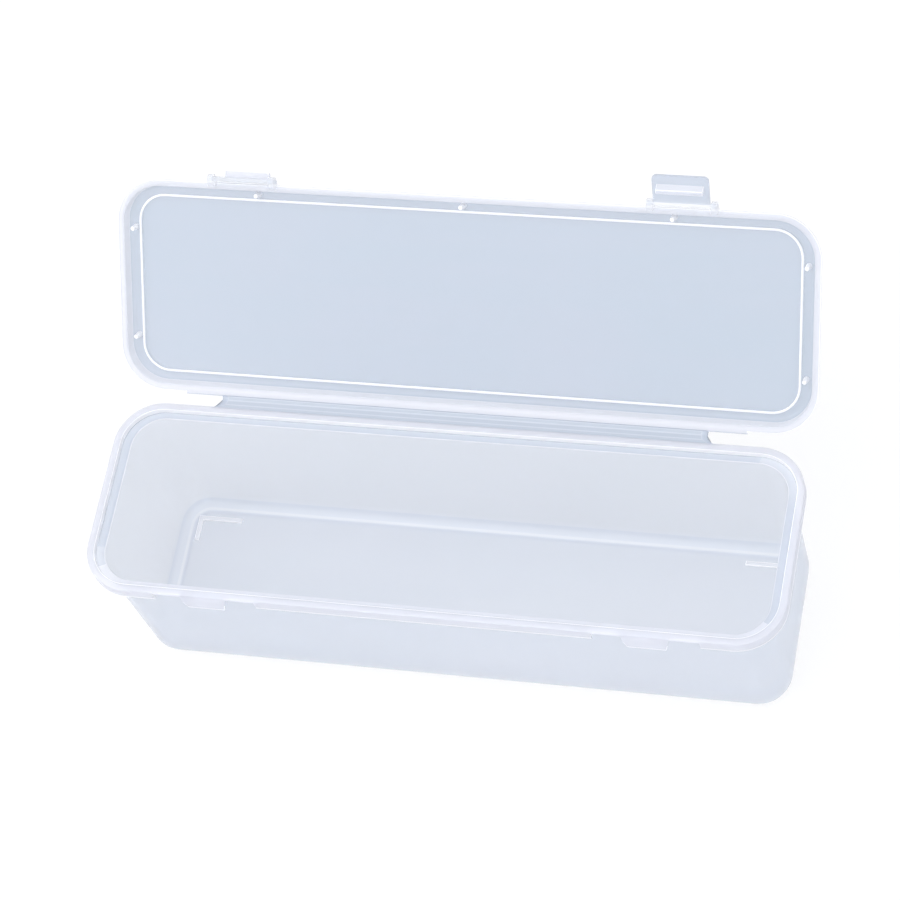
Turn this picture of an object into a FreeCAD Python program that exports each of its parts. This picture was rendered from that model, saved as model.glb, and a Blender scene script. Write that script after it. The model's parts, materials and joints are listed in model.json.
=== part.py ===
import FreeCAD, Part
import math
import os
import Sketcher

# A long lidded box for make-up brushes, moulded in milky polypropylene.
#
# The tub, a thin hinge strip and the lid are one moulding that bends along a single
# fold line at the back.  Two clip-on latches swing in ears on the lid's front edge and
# hook under two catches on the tub's flange.
#
# Frame: origin at the middle of the tub's underside, +X along the box, +Y towards the
# hinge, +Z up.  Millimetres.

Vector = FreeCAD.Vector
X_AXIS = Vector(1, 0, 0)

doc = FreeCAD.newDocument("brush_box")

# ---------------------------------------------------------------- driving dimensions

SIZES = [
    # tub
    ("mouth_length", 280.0, "inside length of the mouth at the flange"),
    ("mouth_width", 78.5, "inside width of the mouth at the flange"),
    ("mouth_corner", 16.3, "corner radius of the mouth"),
    ("tub_height", 78.0, "table to the top of the flange"),
    ("tub_wall", 1.4, "thickness of the tub's walls and floor"),
    ("body_length", 275.4, "outside length of the walls under the ledge"),
    ("body_width", 75.8, "outside width of the walls under the ledge"),
    ("body_corner", 14.0, "outside corner radius of the walls under the ledge"),
    ("body_draft", 1.1, "how far the walls lean in towards the table, in degrees"),
    ("base_round", 7.1, "outside rounding between the walls and the floor"),
    ("ledge_depth", 2.9, "depth of the ledge below the top of the flange"),
    ("rim_wall", 1.0, "thickness of the ledge, lip, flange and skirt"),
    ("flange_reach", 3.15, "how far the flange reaches out from the mouth"),
    ("skirt_depth", 6.1, "top of the flange to the bottom of the skirt"),
    ("skirt_gap", 43.0, "width of the gap in the skirt round each catch"),
    ("latch_inset", 49.9, "inside end of the mouth to the middle of each latch and catch"),
    ("catch_root_width", 19.8, "width of a catch at the flange"),
    ("catch_tip_width", 15.6, "width of a catch at its lower edge"),
    ("catch_lead", 1.0, "how far a catch stands out past the flange"),
    ("catch_slope", 4.1, "height of the slope on top of a catch"),
    ("catch_depth", 8.8, "top of the flange to the lower edge of a catch"),
    ("catch_wall", 1.6, "thickness of a catch's front plate"),
    ("catch_rib", 1.2, "thickness of a catch's side ribs"),
    ("mark_end_inset", 9.2, "outside of the end wall to the corner of an L rib"),
    ("mark_side_inset", 10.6, "outside of the side wall to the corner of an L rib"),
    ("mark_long_arm", 19.4, "long arm of an L rib"),
    ("mark_short_arm", 11.7, "short arm of an L rib"),
    ("mark_wall", 2.1, "width of an L rib"),
    ("mark_rise", 0.6, "height of an L rib above the floor"),
    # lid
    ("lid_gap", 0.1, "gap between the closed lid's rim and the flange"),
    ("lid_lap", 1.6, "how far the lid's rim reaches out past the flange"),
    ("lid_corner", 18.4, "outside corner radius of the lid's rim"),
    ("lid_rim", 2.75, "width of the rim, from its edge to the lid's inner wall face"),
    ("lid_height", 7.0, "underside of the rim to the lid's outer face"),
    ("lid_wall", 1.2, "thickness of the lid"),
    ("lid_draft", 5.7, "how far the lid's walls lean in towards its top, in degrees"),
    ("lid_round", 3.0, "outside rounding round the lid's top"),
    ("ridge_end_inset", 5.5, "lid's inner wall face to the middle of the ridge, at the ends"),
    ("ridge_side_inset", 4.5, "lid's inner wall face to the middle of the ridge, at the sides"),
    ("ridge_corner", 10.5, "corner radius of the ridge's middle line"),
    ("ridge_wall", 1.0, "thickness of the ridge"),
    ("ridge_height", 1.8, "height of the ridge from the lid's inner face"),
    ("peg_width", 2.6, "diameter of the pegs beside the ridge, at their root"),
    ("peg_height", 5.0, "height of the pegs from the lid's inner face"),
    ("peg_draft", 4.0, "how far the pegs lean in towards their tip, in degrees"),
    ("peg_stand", 2.3, "middle of the ridge to the middle of a peg"),
    ("peg_end_inset", 56.55, "lid's inner wall face at its ends to the outer front pegs"),
    ("peg_side_inset", 18.55, "lid's inner wall face at its sides to the pegs at its ends"),
    # fold line and hinge strip
    ("fold_reach", 3.78, "flange edge to the fold line"),
    ("fold_drop", 0.62, "top of the flange to the fold line"),
    ("fold_gap", 0.15, "fold line to the face of each half of the strip"),
    ("strip_end_inset", 39.0, "inside end of the mouth to the end of the hinge strip"),
    ("strip_wall", 0.8, "thickness of the hinge strip"),
    ("strip_flare", 3.9, "radius of the hollow ends of the strip"),
    ("strip_root_drop", 0.2, "top of the flange to the strip's top face at its root"),
    ("strip_root_rise", 0.6, "underside of the rim to the strip's outer face at its root"),
    ("root_pad_reach", 1.05, "how far the thick root pad stands out from the lid's rim"),
    ("root_pad_run", 15.0, "how far the root pad runs on past each end of the strip"),
    # latches
    ("pivot_reach", 2.1, "lid's rim edge to a latch's pivot"),
    ("pivot_drop", 2.7, "underside of the rim to a latch's pivot"),
    ("ear_wall", 2.4, "thickness of an ear"),
    ("ear_round", 1.6, "radius of an ear about the pivot"),
    ("ear_root", 1.1, "lid's rim edge back to the inner face of an ear"),
    ("ear_play", 0.35, "side play between a latch and an ear"),
    ("pin_radius", 0.9, "radius of a latch's trunnions"),
    ("pin_play", 0.05, "radial play of a trunnion in its ear"),
    ("barrel_radius", 1.1, "radius of the barrel along a latch's pivot"),
    ("latch_width", 22.5, "width of a latch"),
    ("latch_length", 13.0, "pivot to the tip of a latch"),
    ("latch_wall", 1.4, "thickness of a latch's flap"),
    ("latch_corner", 1.9, "corner radius at the tip of a latch"),
    ("hook_width", 18.6, "width of the hook bar"),
    ("hook_play", 0.3, "gap between the closed hook and its catch"),
    ("hook_grip", 1.0, "how far the closed hook reaches behind the catch's front face"),
    ("hook_crest", 1.8, "flat on the hook's crest"),
    ("hook_ramp", 1.0, "length of the slope below the hook's crest"),
]

# Turns at rest, in degrees, from the closed box.
LID_OPENING = 137.42
RIGHT_LATCH_LIFT = 70.0
LEFT_LATCH_LIFT = 193.0

# How near two lengths must be to count as the same when edges are picked.
SLACK = 0.01

sizes = doc.addObject("Spreadsheet::Sheet", "sizes")
for row, (alias, value, meaning) in enumerate(SIZES, start=1):
    sizes.set(f"A{row}", meaning)
    sizes.set(f"B{row}", str(value))
    sizes.setAlias(f"B{row}", alias)
doc.recompute()


def size(formula):
    """The value of a formula over the sheet's names, in millimetres."""
    return float(sizes.evalExpression(bound(formula)))


def bound(formula):
    """A formula over bare size names, with each name read from the sheet."""
    names = {alias for alias, _, _ in SIZES}
    words = formula.replace("(", " ( ").replace(")", " ) ").split()
    return " ".join(f"sizes.{word}" if word in names else word for word in words)


# Lines that several pieces share, as formulas over the sheet's names.
FLANGE_X = "mouth_length / 2 + flange_reach"
FLANGE_Y = "mouth_width / 2 + flange_reach"
FLANGE_CORNER = "mouth_corner + flange_reach"
LEDGE_Z = "tub_height - ledge_depth"
CATCH_FACE = f"{FLANGE_Y} + catch_lead"
RIM_X = f"{FLANGE_X} + lid_lap"
RIM_Y = f"{FLANGE_Y} + lid_lap"
LID_INNER_X = f"{RIM_X} - lid_rim"
LID_INNER_Y = f"{RIM_Y} - lid_rim"
LID_INNER_CORNER = "lid_corner - lid_rim"
LID_PANEL_Z = "lid_height - lid_wall"
LATCH_X = "( mouth_length / 2 - latch_inset )"
STRIP_X = "( mouth_length / 2 - strip_end_inset )"
FOLD_Y = f"{FLANGE_Y} + fold_reach"
PIVOT_Y = f"{RIM_Y} + pivot_reach"

# ------------------------------------------------------------------ modelling helpers


def new_body(name):
    """An empty body whose label names the sub-part and its file."""
    body = doc.addObject("PartDesign::Body", name)
    body.Label = name
    return body


def origin_plane(body, role):
    """One of the body's own origin planes."""
    return next(item for item in body.Origin.OriginFeatures if item.Role == role)


def new_sketch(body, name, role, lift):
    """A sketch parallel to an origin plane, moved along the plane's normal.

    XY sketches move up, XZ sketches towards the front (-Y) and YZ sketches along +X.
    """
    sketch = body.newObject("Sketcher::SketchObject", name)
    sketch.AttachmentSupport = [(origin_plane(body, role), "")]
    sketch.MapMode = "FlatFace"
    sketch.setExpression("AttachmentOffset.Base.z", bound(lift))
    return sketch


def constrain(sketch, kind, *geometry, formula=None):
    """Add a constraint, and drive it by a formula where it has a size."""
    if formula is None:
        sketch.addConstraint(Sketcher.Constraint(kind, *geometry))
        return
    index = sketch.addConstraint(Sketcher.Constraint(kind, *geometry, size(formula)))
    name = f"size_{index}"
    sketch.renameConstraint(index, name)
    sketch.setExpression(f"Constraints.{name}", bound(formula))


def add_rounded_rectangle(sketch, half_x, half_y, corner):
    """A closed rounded rectangle centred on the sketch's origin."""
    reach_x, reach_y, radius = size(half_x), size(half_y), size(corner)
    flat_x, flat_y = reach_x - radius, reach_y - radius
    sides = [
        (Vector(-flat_x, -reach_y), Vector(flat_x, -reach_y)),
        (Vector(reach_x, -flat_y), Vector(reach_x, flat_y)),
        (Vector(flat_x, reach_y), Vector(-flat_x, reach_y)),
        (Vector(-reach_x, flat_y), Vector(-reach_x, -flat_y)),
    ]
    centres = [(flat_x, -flat_y), (flat_x, flat_y), (-flat_x, flat_y), (-flat_x, -flat_y)]
    lines, arcs = [], []
    for quarter in range(4):
        start = (quarter - 1) * math.pi / 2
        circle = Part.Circle(Vector(*centres[quarter]), Vector(0, 0, 1), radius)
        lines.append(sketch.addGeometry(Part.LineSegment(*sides[quarter])))
        arcs.append(sketch.addGeometry(Part.ArcOfCircle(circle, start, start + math.pi / 2)))
    for quarter in range(4):
        constrain(sketch, "Tangent", lines[quarter], 2, arcs[quarter], 1)
        constrain(sketch, "Tangent", arcs[quarter], 2, lines[(quarter + 1) % 4], 1)
    for line in lines[0], lines[2]:
        constrain(sketch, "Horizontal", line)
    for line in lines[1], lines[3]:
        constrain(sketch, "Vertical", line)
    for arc in arcs[1:]:
        constrain(sketch, "Equal", arcs[0], arc)
    constrain(sketch, "Radius", arcs[0], formula=corner)
    constrain(sketch, "DistanceX", -1, 1, lines[1], 1, formula=half_x)
    constrain(sketch, "DistanceX", lines[3], 1, -1, 1, formula=half_x)
    constrain(sketch, "DistanceY", -1, 1, lines[2], 1, formula=half_y)
    constrain(sketch, "DistanceY", lines[0], 1, -1, 1, formula=half_y)


def add_polygon(sketch, corners):
    """A closed polygon whose corners are pairs of formulas."""
    points = [Vector(size(across), size(up)) for across, up in corners]
    count = len(points)
    edges = [
        sketch.addGeometry(Part.LineSegment(points[step], points[(step + 1) % count]))
        for step in range(count)
    ]
    for step, (across, up) in enumerate(corners):
        constrain(sketch, "Coincident", edges[step], 2, edges[(step + 1) % count], 1)
        constrain(sketch, "DistanceX", -1, 1, edges[step], 1, formula=across)
        constrain(sketch, "DistanceY", -1, 1, edges[step], 1, formula=up)


def add_circle(sketch, across, up, radius):
    """A circle with its centre at a pair of formulas."""
    centre = Vector(size(across), size(up))
    circle = sketch.addGeometry(Part.Circle(centre, Vector(0, 0, 1), size(radius)))
    constrain(sketch, "Radius", circle, formula=radius)
    constrain(sketch, "DistanceX", -1, 1, circle, 3, formula=across)
    constrain(sketch, "DistanceY", -1, 1, circle, 3, formula=up)


def extrude(kind, name, sketch, length, side="One side", inward=False, draft="0"):
    """A Pad or Pocket of a sketch, which narrows along its length by a draft angle."""
    body = sketch.getParentGeoFeatureGroup()
    feature = body.newObject(f"PartDesign::{kind}", name)
    feature.Profile = sketch
    feature.SideType = side
    feature.Reversed = inward
    feature.setExpression("Length", bound(length))
    feature.setExpression("TaperAngle", bound(f"0 - {draft}"))
    return feature


def round_edges(body, name, base, height, radius):
    """Round every edge of a feature that lies at a height."""
    doc.recompute()
    level = size(height)
    edges = [
        f"Edge{number}"
        for number, edge in enumerate(base.Shape.Edges, start=1)
        if abs(edge.BoundBox.ZMin - level) < SLACK and abs(edge.BoundBox.ZMax - level) < SLACK
    ]
    fillet = body.newObject("PartDesign::Fillet", name)
    fillet.Base = (base, edges)
    fillet.setExpression("Radius", bound(radius))
    doc.recompute()
    return fillet


def mirror_across_middle(body, name, features):
    """Repeat features on the other side of the box's middle."""
    mirrored = body.newObject("PartDesign::Mirrored", name)
    mirrored.Originals = features
    mirrored.MirrorPlane = (origin_plane(body, "YZ_Plane"), [""])
    body.Tip = mirrored
    doc.recompute()
    return mirrored


# -------------------------------------------------------------------------------- tub


def make_tub():
    body = new_body("tub")

    # Walls that lean in towards a rounded base, hollowed to an even wall.
    outside = new_sketch(body, "body_outline", "XY_Plane", LEDGE_Z)
    add_rounded_rectangle(outside, "body_length / 2", "body_width / 2", "body_corner")
    extrude("Pad", "walls", outside, LEDGE_Z, inward=True, draft="body_draft")
    inside = new_sketch(body, "inside_outline", "XY_Plane", LEDGE_Z)
    add_rounded_rectangle(
        inside, "body_length / 2 - tub_wall", "body_width / 2 - tub_wall",
        "body_corner - tub_wall")
    room = extrude("Pocket", "inside", inside, f"{LEDGE_Z} - tub_wall", draft="body_draft")
    soft = round_edges(body, "inside_rounding", room, "tub_wall", "base_round - tub_wall")
    round_edges(body, "base_rounding", soft, "0", "base_round")

    # The step outwards that carries the ledge and the lip.
    step = new_sketch(body, "step_outline", "XY_Plane", "tub_height")
    add_rounded_rectangle(
        step, "mouth_length / 2 + rim_wall", "mouth_width / 2 + rim_wall",
        "mouth_corner + rim_wall")
    add_rounded_rectangle(
        step, "( body_length - tub_wall ) / 2", "( body_width - tub_wall ) / 2",
        "body_corner - tub_wall / 2")
    extrude("Pad", "step", step, "ledge_depth + rim_wall", inward=True)

    # Flange round the mouth, with a skirt hanging from its outer edge.
    flange = new_sketch(body, "flange_outline", "XY_Plane", "tub_height")
    add_rounded_rectangle(flange, FLANGE_X, FLANGE_Y, FLANGE_CORNER)
    add_rounded_rectangle(
        flange, "mouth_length / 2 + rim_wall / 2", "mouth_width / 2 + rim_wall / 2",
        "mouth_corner + rim_wall / 2")
    extrude("Pad", "flange", flange, "rim_wall", inward=True)
    skirt = new_sketch(body, "skirt_outline", "XY_Plane", "tub_height")
    add_rounded_rectangle(skirt, FLANGE_X, FLANGE_Y, FLANGE_CORNER)
    add_rounded_rectangle(
        skirt, f"{FLANGE_X} - rim_wall", f"{FLANGE_Y} - rim_wall",
        f"{FLANGE_CORNER} - rim_wall")
    extrude("Pad", "skirt", skirt, "skirt_depth", inward=True)

    # Each catch stands in a gap in the skirt, where a latch can pass.
    gap = new_sketch(body, "skirt_gap_outline", "XZ_Plane", FLANGE_Y)
    gap_low, gap_high = "tub_height - skirt_depth - rim_wall", "tub_height - rim_wall"
    gap_left, gap_right = f"{LATCH_X} - skirt_gap / 2", f"{LATCH_X} + skirt_gap / 2"
    add_polygon(gap, [
        (gap_left, gap_low), (gap_right, gap_low), (gap_right, gap_high), (gap_left, gap_high),
    ])
    gap_cut = extrude("Pocket", "skirt_opening", gap, "flange_reach / 2")

    # A catch: a tapering plate on two side ribs, hollow behind, with a slope on top.
    catch = new_sketch(body, "catch_outline", "XZ_Plane", CATCH_FACE)
    catch_low = "tub_height - catch_depth"
    add_polygon(catch, [
        (f"{LATCH_X} - catch_tip_width / 2", catch_low),
        (f"{LATCH_X} + catch_tip_width / 2", catch_low),
        (f"{LATCH_X} + catch_root_width / 2", "tub_height"),
        (f"{LATCH_X} - catch_root_width / 2", "tub_height"),
    ])
    catch_block = extrude(
        "Pad", "catch", catch, f"{CATCH_FACE} - ( body_width - tub_wall ) / 2", inward=True)
    slope = new_sketch(body, "catch_slope_outline", "YZ_Plane", LATCH_X)
    add_polygon(slope, [
        (f"0 - ( {FLANGE_Y} )", "tub_height"),
        (f"0 - ( {CATCH_FACE} )", "tub_height - catch_slope"),
        (f"0 - ( {CATCH_FACE} + catch_lead )", "tub_height - catch_slope"),
        (f"0 - ( {CATCH_FACE} + catch_lead )", "tub_height + catch_lead"),
        (f"0 - ( {FLANGE_Y} )", "tub_height + catch_lead"),
    ])
    slope_cut = extrude(
        "Pocket", "catch_slope", slope, "catch_root_width + catch_rib", side="Symmetric")
    behind = new_sketch(body, "catch_hollow_outline", "XZ_Plane", f"{CATCH_FACE} - catch_wall")
    hollow_left = f"{LATCH_X} - catch_tip_width / 2 + catch_rib"
    hollow_right = f"{LATCH_X} + catch_tip_width / 2 - catch_rib"
    hollow_low, hollow_high = f"{catch_low} - catch_rib", f"{LEDGE_Z} - rim_wall"
    add_polygon(behind, [
        (hollow_left, hollow_low), (hollow_right, hollow_low),
        (hollow_right, hollow_high), (hollow_left, hollow_high),
    ])
    hollow_cut = extrude(
        "Pocket", "catch_hollow", behind, f"{CATCH_FACE} - catch_wall - body_width / 2")
    mirror_across_middle(
        body, "second_catch", [gap_cut, catch_block, slope_cut, hollow_cut])

    # The mouth, down to the ledge.
    mouth = new_sketch(body, "mouth_outline", "XY_Plane", "tub_height")
    add_rounded_rectangle(mouth, "mouth_length / 2", "mouth_width / 2", "mouth_corner")
    extrude("Pocket", "mouth", mouth, "ledge_depth")

    # Low L ribs in the corners of the floor.
    mark_x, mark_y = "body_length / 2 - mark_end_inset", "body_width / 2 - mark_side_inset"
    marks = new_sketch(body, "floor_mark_outlines", "XY_Plane", "tub_wall / 2")
    for side_x in (-1, 1):
        for side_y in (-1, 1):
            add_polygon(marks, [
                (f"{side_x} * ( {across} )", f"{side_y} * ( {up} )")
                for across, up in (
                    (mark_x, mark_y),
                    (f"{mark_x} - mark_long_arm", mark_y),
                    (f"{mark_x} - mark_long_arm", f"{mark_y} - mark_wall"),
                    (f"{mark_x} - mark_wall", f"{mark_y} - mark_wall"),
                    (f"{mark_x} - mark_wall", f"{mark_y} - mark_short_arm"),
                    (mark_x, f"{mark_y} - mark_short_arm"),
                )
            ])
    extrude("Pad", "floor_marks", marks, "tub_wall / 2 + mark_rise")
    return body


# -------------------------------------------------------------------------------- lid


def make_lid():
    """The lid as it lies when closed, with its origin at the rim's underside."""
    body = new_body("lid")

    # A shallow tray, upside down: panel, leaning walls and a rounded edge.
    outside = new_sketch(body, "tray_outline", "XY_Plane", "0")
    add_rounded_rectangle(
        outside, f"{LID_INNER_X} + lid_wall", f"{LID_INNER_Y} + lid_wall",
        f"{LID_INNER_CORNER} + lid_wall")
    extrude("Pad", "tray", outside, "lid_height", draft="lid_draft")
    inside = new_sketch(body, "tray_inside_outline", "XY_Plane", "0")
    add_rounded_rectangle(inside, LID_INNER_X, LID_INNER_Y, LID_INNER_CORNER)
    room = extrude(
        "Pocket", "tray_inside", inside, LID_PANEL_Z, inward=True, draft="lid_draft")
    soft = round_edges(body, "panel_rounding", room, LID_PANEL_Z, "lid_round - lid_wall")
    round_edges(body, "top_rounding", soft, "lid_height", "lid_round")

    # The flat rim round the tray, with a thicker root for the hinge strip.
    rim = new_sketch(body, "rim_outline", "XY_Plane", "0")
    add_rounded_rectangle(rim, RIM_X, RIM_Y, "lid_corner")
    add_rounded_rectangle(
        rim, f"{LID_INNER_X} + lid_wall / 2", f"{LID_INNER_Y} + lid_wall / 2",
        f"{LID_INNER_CORNER} + lid_wall / 2")
    extrude("Pad", "rim", rim, "lid_wall")
    root = new_sketch(body, "root_pad_outline", "XY_Plane", "0")
    root_x = f"{STRIP_X} + root_pad_run"
    root_in, root_out = f"{RIM_Y} - lid_rim / 4", f"{RIM_Y} + root_pad_reach"
    add_polygon(root, [
        (f"0 - ( {root_x} + root_pad_reach )", root_in),
        (f"{root_x} + root_pad_reach", root_in),
        (f"{root_x} + root_pad_reach", RIM_Y),
        (root_x, root_out),
        (f"0 - ( {root_x} )", root_out),
        (f"0 - ( {root_x} + root_pad_reach )", RIM_Y),
    ])
    extrude("Pad", "root_pad", root, "lid_wall")

    # The ridge that stands inside the tray, parallel to its walls.
    ridge_x = f"{LID_INNER_X} - ridge_end_inset"
    ridge_y = f"{LID_INNER_Y} - ridge_side_inset"
    ridge = new_sketch(body, "ridge_outline", "XY_Plane", f"{LID_PANEL_Z} + lid_wall / 2")
    for half_wall in ("ridge_wall / 2", "( 0 - ridge_wall / 2 )"):
        add_rounded_rectangle(
            ridge, f"{ridge_x} + {half_wall}", f"{ridge_y} + {half_wall}",
            f"ridge_corner + {half_wall}")
    extrude("Pad", "ridge", ridge, "lid_wall / 2 + ridge_height", inward=True)

    # Small pegs in the channel round the ridge, along the front and at both ends.
    pegs = new_sketch(body, "peg_outlines", "XY_Plane", f"{LID_PANEL_Z} + lid_wall / 2")
    front_x = f"( {LID_INNER_X} - peg_end_inset )"
    end_y = f"( {LID_INNER_Y} - peg_side_inset )"
    for side in (-1, 0, 1):
        add_circle(pegs, f"{side} * {front_x}", f"0 - ( {ridge_y} + peg_stand )", "peg_width / 2")
    for end in (-1, 1):
        for side in (-1, 1):
            add_circle(
                pegs, f"{end} * ( {ridge_x} + peg_stand )", f"{side} * {end_y}", "peg_width / 2")
    extrude("Pad", "pegs", pegs, "lid_wall / 2 + peg_height", inward=True, draft="peg_draft")

    # Two ears for each latch, round about the pivot and drilled for its trunnions.
    pivot_y, pivot_z = f"0 - ( {PIVOT_Y} )", "0 - pivot_drop"
    ear_back = f"0 - ( {RIM_Y} - ear_root )"
    ears = []
    for name, sign in (("inner", "-"), ("outer", "+")):
        place = f"{LATCH_X} {sign} ( latch_width / 2 + ear_play + ear_wall / 2 )"
        web = new_sketch(body, f"{name}_ear_outline", "YZ_Plane", place)
        add_polygon(web, [
            (ear_back, "lid_wall"),
            (f"0 - ( {RIM_Y} + ear_root / 2 )", "lid_wall"),
            (f"{pivot_y} - ear_round", "0 - pivot_drop / 4"),
            (f"{pivot_y} - ear_round", pivot_z),
            (pivot_y, f"{pivot_z} - ear_round"),
            (f"{pivot_y} + ear_round", f"{pivot_z} - ear_round"),
            (ear_back, pivot_z),
        ])
        ears.append(extrude("Pad", f"{name}_ear", web, "ear_wall", side="Symmetric"))
        nose = new_sketch(body, f"{name}_ear_nose_outline", "YZ_Plane", place)
        add_circle(nose, pivot_y, pivot_z, "ear_round")
        ears.append(extrude("Pad", f"{name}_ear_nose", nose, "ear_wall", side="Symmetric"))
    bore = new_sketch(body, "trunnion_bore_outline", "YZ_Plane", LATCH_X)
    add_circle(bore, pivot_y, pivot_z, "pin_radius + pin_play")
    bores = extrude(
        "Pocket", "trunnion_bores", bore, "latch_width + 4 * ear_wall", side="Symmetric")
    mirror_across_middle(body, "second_ears", ears + [bores])
    return body


# ------------------------------------------------------------------------ hinge strip


def make_strip_half(name, profile, height):
    """One half of the hinge strip: a band up to the fold line, with hollow ends."""
    body = new_body(name)
    band = new_sketch(body, f"{name}_profile", "YZ_Plane", "0")
    add_polygon(band, profile)
    extrude(
        "Pad", f"{name}_band", band, f"2 * ( {STRIP_X} + strip_flare )", side="Symmetric")
    ends = new_sketch(body, f"{name}_end_outlines", "XY_Plane", height)
    for side in (-1, 1):
        add_circle(ends, f"{side} * ( {STRIP_X} + strip_flare )", FOLD_Y, "strip_flare")
    extrude("Pocket", f"{name}_ends", ends, "10 * strip_wall", side="Symmetric")
    return body


def make_tub_strip():
    """From the flange's back edge to just under the fold line."""
    root = "tub_height - strip_root_drop"
    fold = "tub_height - fold_drop - fold_gap"
    return make_strip_half(
        "hinge_strip_tub_side",
        [
            (FLANGE_Y, root), (FLANGE_Y, f"{root} - strip_wall"),
            (FOLD_Y, f"{fold} - strip_wall"), (FOLD_Y, fold),
        ],
        "tub_height",
    )


def make_lid_strip():
    """From the lid's root pad to just over the fold line, in the lid's own frame."""
    root_y = f"{RIM_Y} + root_pad_reach"
    fold = "fold_gap - fold_drop - lid_gap"
    return make_strip_half(
        "hinge_strip_lid_side",
        [
            (root_y, "strip_root_rise - strip_wall"), (FOLD_Y, fold),
            (FOLD_Y, f"{fold} + strip_wall"), (root_y, "strip_root_rise"),
        ],
        "0",
    )


# ---------------------------------------------------------------------------- latches


def make_latch(name):
    """A latch hanging closed from its pivot, with its hook towards the tub (+Y)."""
    body = new_body(name)

    flap = new_sketch(body, f"{name}_flap_outline", "XZ_Plane", "0")
    flap_low, flap_high = "0 - latch_length", "0 - barrel_radius / 4"
    add_polygon(flap, [
        ("latch_width / 2", flap_low), ("latch_width / 2", flap_high),
        ("0 - latch_width / 2", flap_high), ("0 - latch_width / 2", flap_low),
    ])
    plate = extrude("Pad", f"{name}_flap", flap, "latch_wall", side="Symmetric")
    doc.recompute()
    tip = -size("latch_length")
    corners = [
        f"Edge{number}"
        for number, edge in enumerate(plate.Shape.Edges, start=1)
        if edge.BoundBox.XLength < SLACK and edge.BoundBox.ZMax < tip + SLACK
    ]
    rounding = body.newObject("PartDesign::Fillet", f"{name}_tip_rounding")
    rounding.Base = (plate, corners)
    rounding.setExpression("Radius", bound("latch_corner"))

    # The barrel along the pivot and the trunnions that snap into the ears.
    for part, radius, length in (
        ("barrel", "barrel_radius", "latch_width"),
        ("trunnions", "pin_radius", "latch_width + 2 * ear_play + 2 * ear_wall"),
    ):
        outline = new_sketch(body, f"{name}_{part}_outline", "YZ_Plane", "0")
        circle = outline.addGeometry(Part.Circle(Vector(), Vector(0, 0, 1), size(radius)))
        constrain(outline, "Coincident", circle, 3, -1, 1)
        constrain(outline, "Radius", circle, formula=radius)
        extrude("Pad", f"{name}_{part}", outline, length, side="Symmetric")

    # The hook bar, whose flat top hooks under the catch.
    hook = new_sketch(body, f"{name}_hook_outline", "YZ_Plane", "0")
    hook_top = "pivot_drop - lid_gap - catch_depth - hook_play"
    hook_tip = f"{PIVOT_Y} - ( {CATCH_FACE} ) + hook_grip"
    add_polygon(hook, [
        ("latch_wall / 4", hook_top),
        ("latch_wall / 4", f"{hook_top} - hook_crest - hook_ramp"),
        ("latch_wall / 2", f"{hook_top} - hook_crest - hook_ramp"),
        (hook_tip, f"{hook_top} - hook_crest"),
        (hook_tip, hook_top),
    ])
    extrude("Pad", f"{name}_hook", hook, "hook_width", side="Symmetric")
    return body


# --------------------------------------------------------------------------- assembly

tub = make_tub()
tub_strip = make_tub_strip()
lid = make_lid()
lid_strip = make_lid_strip()
latch_left = make_latch("latch_left")
latch_right = make_latch("latch_right")
doc.recompute()

fold_line = Vector(0, size(FOLD_Y), size("tub_height - fold_drop"))
open_lid = FreeCAD.Placement(Vector(), FreeCAD.Rotation(X_AXIS, -LID_OPENING), fold_line)
closed_lid = FreeCAD.Placement(
    Vector(0, 0, size("tub_height + lid_gap")), FreeCAD.Rotation())
for piece in (lid, lid_strip):
    piece.Placement = open_lid * closed_lid

for latch, side, lift in (
    (latch_left, -1, LEFT_LATCH_LIFT),
    (latch_right, 1, RIGHT_LATCH_LIFT),
):
    pivot = Vector(side * size(LATCH_X), -size(PIVOT_Y), -size("pivot_drop"))
    lifted = FreeCAD.Placement(pivot, FreeCAD.Rotation(X_AXIS, -lift))
    latch.Placement = open_lid * closed_lid * lifted
doc.recompute()

# ----------------------------------------------------------------- checks and writing

pieces = [tub, tub_strip, lid, lid_strip, latch_left, latch_right]
for item in doc.Objects:
    if "Invalid" in item.State or "Error" in item.State:
        raise RuntimeError(f"{item.Label} failed: {item.State}")
for piece in pieces:
    shape = piece.Shape
    if shape.isNull() or not shape.isValid() or len(shape.Solids) != 1:
        raise RuntimeError(f"{piece.Label} is not one valid solid")

os.makedirs("parts", exist_ok=True)
for piece in pieces:
    box = piece.Shape.BoundBox
    print(
        f"{piece.Label}: {piece.Shape.Volume / 1000:.2f} cm3, "
        f"X {box.XMin:.2f}..{box.XMax:.2f}, Y {box.YMin:.2f}..{box.YMax:.2f}, "
        f"Z {box.ZMin:.2f}..{box.ZMax:.2f}")
    piece.Shape.exportStep(f"parts/{piece.Label}.step")

print("fold line", [round(part, 3) for part in fold_line])
for latch in (latch_left, latch_right):
    print(latch.Label, "pivot", [round(part, 3) for part in latch.Placement.Base])
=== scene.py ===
# %% [markdown]
# A long box for make-up brushes, moulded in milky polypropylene, with its lid open.
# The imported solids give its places, its joints and its outer sizes. This script dresses
# them: it models the tub, the lid, the hinge film and the latches again with soft
# moulded edges, gives them their see-through plastic, and lights them as on a white
# studio table.

import json
import math

import bmesh
import bpy
from mathutils import Matrix, Vector


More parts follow.
